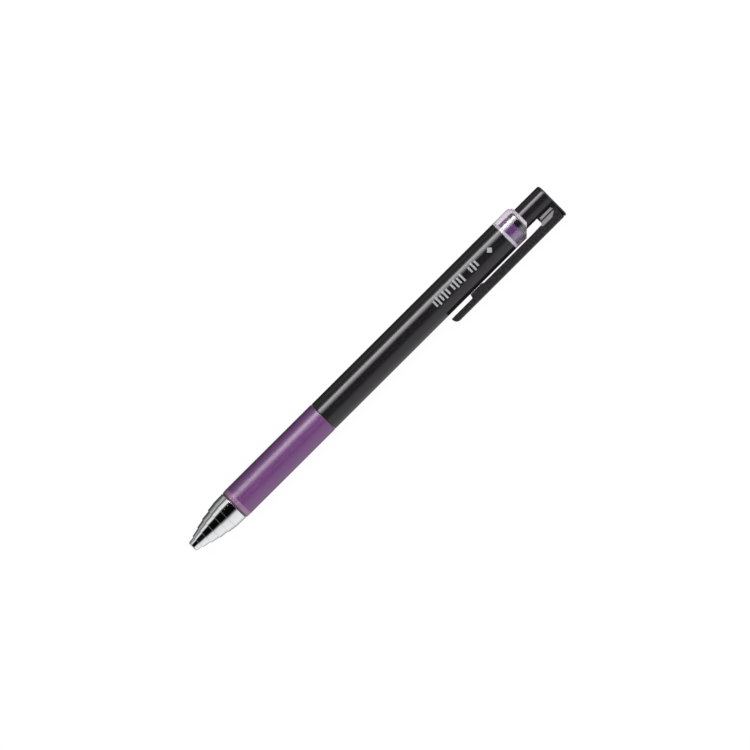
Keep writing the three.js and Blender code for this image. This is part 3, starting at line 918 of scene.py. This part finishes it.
def filling(name, node):
    """A plain rod in the refill's bore, where its CAD node is."""
    low, high = span(node)
    corners = [(0, low), (INK_R, low, 0.05), (INK_R, high, 0.05), (0, high)]
    return lathe(name, corners, FEWER_SIDES)


def refill_tube():
    low, high = span("refill_tube")
    return lathe("ink_tube", [
        (TUBE_BORE, low, 0.05),
        (TUBE_R, low, 0.08),
        (TUBE_R, high, 0.08),
        (TUBE_BORE, high, 0.05),
    ], FEWER_SIDES)


def tail_plug():
    """Plug with a flange and a vent hole."""
    low, high = span("refill_tail_plug")
    vent, flange_r, flange = 0.5, 2.9, 0.95
    return lathe("vent_plug", [
        (vent, low),
        (INK_R, low, 0.15),
        (INK_R, high - flange),
        (flange_r, high - flange, 0.08),
        (flange_r, high, 0.15),
        (vent, high, 0.1),
    ], FEWER_SIDES)


# ---- putting the pen together ------------------------------------------------------------


def build_pen():
    finish_piece(tip_cone(), "cone", CHROME, "chrome_metal", "tip_cone", sharp=30)
    finish_piece(rubber_grip(), "barrel", RUBBER, "violet_rubber", "rubber_grip")
    finish_piece(barrel(), "barrel", BLACK, "black_plastic", "barrel")
    finish_piece(barrel_thread(), "barrel", BLACK, "black_plastic")
    finish_piece(printed_marks(), "barrel", PRINT, "black_plastic")
    finish_piece(clear_collar(), "barrel", CLEAR, "clear_plastic", "clear_collar")
    finish_piece(colour_ring(), "knock", VIOLET, "violet_plastic", "colour_ring")
    finish_piece(knock_button(), "knock", BLACK, "black_plastic", "knock_button")
    finish_piece(knock_cap(), "knock", BLACK, "black_plastic", "knock_cap")
    finish_piece(clip_arm(), "clip", BLACK_SATIN, "black_plastic", "clip_arm")
    finish_piece(point_holder(), "refill", POINT_STEEL, "steel", "point_holder")
    finish_piece(writing_ball(), "refill", CARBIDE, "carbide", "writing_ball")
    finish_piece(tip_holder(), "refill", NATURAL, "natural_plastic", "tip_holder")
    finish_piece(refill_tube(), "refill", NATURAL, "natural_plastic", "refill_tube")
    finish_piece(filling("ink", "ink_column"), "refill", INK, "violet_ink", "ink_column")
    finish_piece(filling("grease", "ink_follower"), "refill", GREASE, "clear_grease", "ink_follower")
    finish_piece(tail_plug(), "refill", WHITE, "white_plastic", "refill_tail_plug")
    fine = spring("fine_spring", 0.4, 0.08, 3.2, 12.6, turns=14, closed_turns=2)
    finish_piece(fine, "refill", STEEL, "steel", "ball_spring")
    low, high = span("return_spring")
    coil = spring("coil_spring", 2.2, 0.2, low, high, turns=9, closed_turns=1.2)
    finish_piece(coil, "spring", STEEL, "steel", "return_spring")
    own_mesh(coil)


def dress_cad_nodes():
    """CAD nodes that stay as they are get the same kind of material."""
    inner_parts = {"cam_sleeve": WHITE, "cam_rotor": WHITE, "knock_plunger": NATURAL}
    for node, material in inner_parts.items():
        kept = frame["nodes"][node]
        kept.data.materials.clear()
        kept.data.materials.append(material)


# ---- stage, light and camera --------------------------------------------------------------

VIEW_TURN = math.radians(44.9)  # how far the pen is turned up from level in the picture
VIEW_BACK = -SIDE_DIRECTION
VIEW_RIGHT = AXIS * math.cos(VIEW_TURN) + CLIP_DIRECTION * math.sin(VIEW_TURN)
VIEW_UP = AXIS * math.sin(VIEW_TURN) - CLIP_DIRECTION * math.cos(VIEW_TURN)
MIDDLE = PEN @ Vector((0, 0, PEN_LENGTH / 2))


def floor():
    """A light table: it looks white, casts no shadow pattern and isn't mirrored in the gloss."""
    half, depth = 3.0, 0.01
    sheet = box("floor", (-half, half), (-half, half), (-depth, 0))
    made = new_material("floor_paper", Roughness=0.8)
    shader_input(made, "Base Color").default_value = (0, 0, 0, 1)
    shader_input(made, "Emission Color").default_value = (1, 1, 1, 1)
    uneven = 0.003
    low, high = WHITE_LEVEL - uneven, WHITE_LEVEL + uneven
    vary(made, "Emission Strength", noise(made, scale=0.01), low, high)
    sheet.data.materials.append(made)
    sheet.visible_diffuse = False
    sheet.visible_glossy = False
    sheet.visible_shadow = False


def softbox(name, toward, distance, width, along, radiance, gloss, diffuse):
    """A lamp seen from the pen in direction toward; along is its extent parallel to the pen."""
    data = bpy.data.lights.new(name, "AREA")
    data.shape = "RECTANGLE"
    low, high = along
    data.size = high - low
    data.size_y = width
    data.energy = radiance * math.pi * width * (high - low)
    lamp = bpy.data.objects.new(name, data)
    back = toward.normalized()
    across = back.cross(AXIS).normalized()
    lengthwise = across.cross(back)
    place = MIDDLE + back * distance + AXIS * (low + high) / 2
    turned = Matrix((lengthwise, across, back)).transposed().to_4x4()
    lamp.matrix_world = Matrix.Translation(place) @ turned
    lamp.visible_camera = False
    lamp.visible_glossy = gloss
    lamp.visible_transmission = False
    lamp.visible_diffuse = diffuse
    bpy.context.scene.collection.objects.link(lamp)


def around(degrees):
    """Direction at an angle from the camera's, positive towards the clip's side."""
    angle = math.radians(degrees)
    return VIEW_BACK * math.cos(angle) + CLIP_DIRECTION * math.sin(angle)


def angular_strip(name, start, end, radiance):
    """A strip lamp for gloss only, that fills the directions from start to end degrees."""
    width = 2 * STRIP_DISTANCE * math.tan(math.radians(end - start) / 2)
    middle = around((start + end) / 2)
    softbox(name, middle, STRIP_DISTANCE, width, STRIP_REACH, radiance, gloss=True, diffuse=False)


# What surrounds the pen, by angle from the camera's direction round the pen's axis,
# positive towards the clip: (degrees, brightness).
SURROUNDINGS = [
    (-180, 0.1),
    (-134, 0.07),
    (-120, 0.12),
    (-106, 0.36),
    (-90, 0.42),
    (-83, 0.15),
    (-75, 0.15),
    (-69, 0.6),
    (-62, 0.82),
    (-48, 0.78),
    (-41, 0.12),
    (-34, 0.003),
    (18, 0.002),
    (25, 0.07),
    (34, 0.4),
    (41, 0.7),
    (50, 0.8),
    (108, 0.9),
    (124, 0.8),
    (140, 0.5),
    (180, 0.15),
]
TIP_LEVEL = 0.25  # brightness beyond the pen's tip
KNOB_LEVEL = 0.85  # and beyond its knob
WHITE_LEVEL = 0.985  # of the background and the floor, as the camera sees them
STRIP_DISTANCE = 0.6
STRIP_REACH = (-0.064, 0.8)  # from beside the grip, so that the cone doesn't mirror the strips


def studio_world():
    world = bpy.data.worlds.new("studio")
    bpy.context.scene.world = world
    world.use_nodes = True
    nodes, links = world.node_tree.nodes, world.node_tree.links

    def math_node(operation, *values):
        node = nodes.new("ShaderNodeMath")
        node.operation = operation
        for socket, value in zip(node.inputs, values):
            if isinstance(value, (int, float)):
                socket.default_value = value
            else:
                links.new(value, socket)
        return node.outputs["Value"]

    direction = nodes.new("ShaderNodeTexCoord").outputs["Generated"]

    def along(vector):
        node = nodes.new("ShaderNodeVectorMath")
        node.operation = "DOT_PRODUCT"
        node.inputs[1].default_value = vector
        links.new(direction, node.inputs[0])
        return node.outputs["Value"]

    def blend(fac, first, second):
        rest = math_node("SUBTRACT", 1, fac)
        return math_node("ADD", math_node("MULTIPLY", first, rest), math_node("MULTIPLY", second, fac))

    angle = math_node("ARCTAN2", along(CLIP_DIRECTION), along(VIEW_BACK))
    turn = math_node("ADD", math_node("DIVIDE", angle, 2 * math.pi), 0.5)
    ramp = nodes.new("ShaderNodeValToRGB")
    elements = ramp.color_ramp.elements
    while len(elements) < len(SURROUNDINGS):
        elements.new(0.5)
    for element, (degrees, level) in zip(elements, SURROUNDINGS):
        element.position = degrees / 360 + 0.5
        element.color = (level, level, level, 1)
    links.new(turn, ramp.inputs["Fac"])

    def endways(vector):
        node = nodes.new("ShaderNodeMapRange")
        node.inputs["From Min"].default_value = 0.5
        node.inputs["From Max"].default_value = 0.8
        links.new(along(vector), node.inputs["Value"])
        return node.outputs["Result"]

    seen_by_pen = blend(endways(-AXIS), ramp.outputs["Color"], TIP_LEVEL)
    seen_by_pen = blend(endways(AXIS), seen_by_pen, KNOB_LEVEL)
    path = nodes.new("ShaderNodeLightPath")
    level = blend(path.outputs["Is Camera Ray"], seen_by_pen, WHITE_LEVEL)
    links.new(level, nodes["Background"].inputs["Strength"])
    nodes["Background"].inputs["Color"].default_value = (1, 1, 1, 1)


def camera():
    """Long lens along the pen's side, turned so that the pen lies on the diagonal."""
    distance = 2.5
    field = 0.213
    right_shift, down_shift = 0.0015, 0.0013
    data = bpy.data.cameras.new("camera")
    data.lens = data.sensor_width * distance / field
    data.clip_start = 0.01
    data.clip_end = 20
    made = bpy.data.objects.new("camera", data)
    target = MIDDLE + VIEW_RIGHT * right_shift - VIEW_UP * down_shift
    turned = Matrix((VIEW_RIGHT, VIEW_UP, VIEW_BACK)).transposed().to_4x4()
    made.matrix_world = Matrix.Translation(target + VIEW_BACK * distance) @ turned
    bpy.context.scene.collection.objects.link(made)
    bpy.context.scene.camera = made


def light_studio():
    """A key lamp that fades towards the camera's side, for gloss, and a soft front light."""
    angular_strip("key", -57, -41, radiance=9.0)
    angular_strip("key_edge", -41, -31, radiance=6.0)
    angular_strip("key_fade", -31, -22, radiance=2.2)
    softbox("front", around(8), 1.0, 0.3, (-0.4, 0.4), 12.0, gloss=False, diffuse=True)
    bpy.context.scene.view_settings.view_transform = "Standard"


build_pen()
dress_cad_nodes()
floor()
studio_world()
light_studio()
camera()
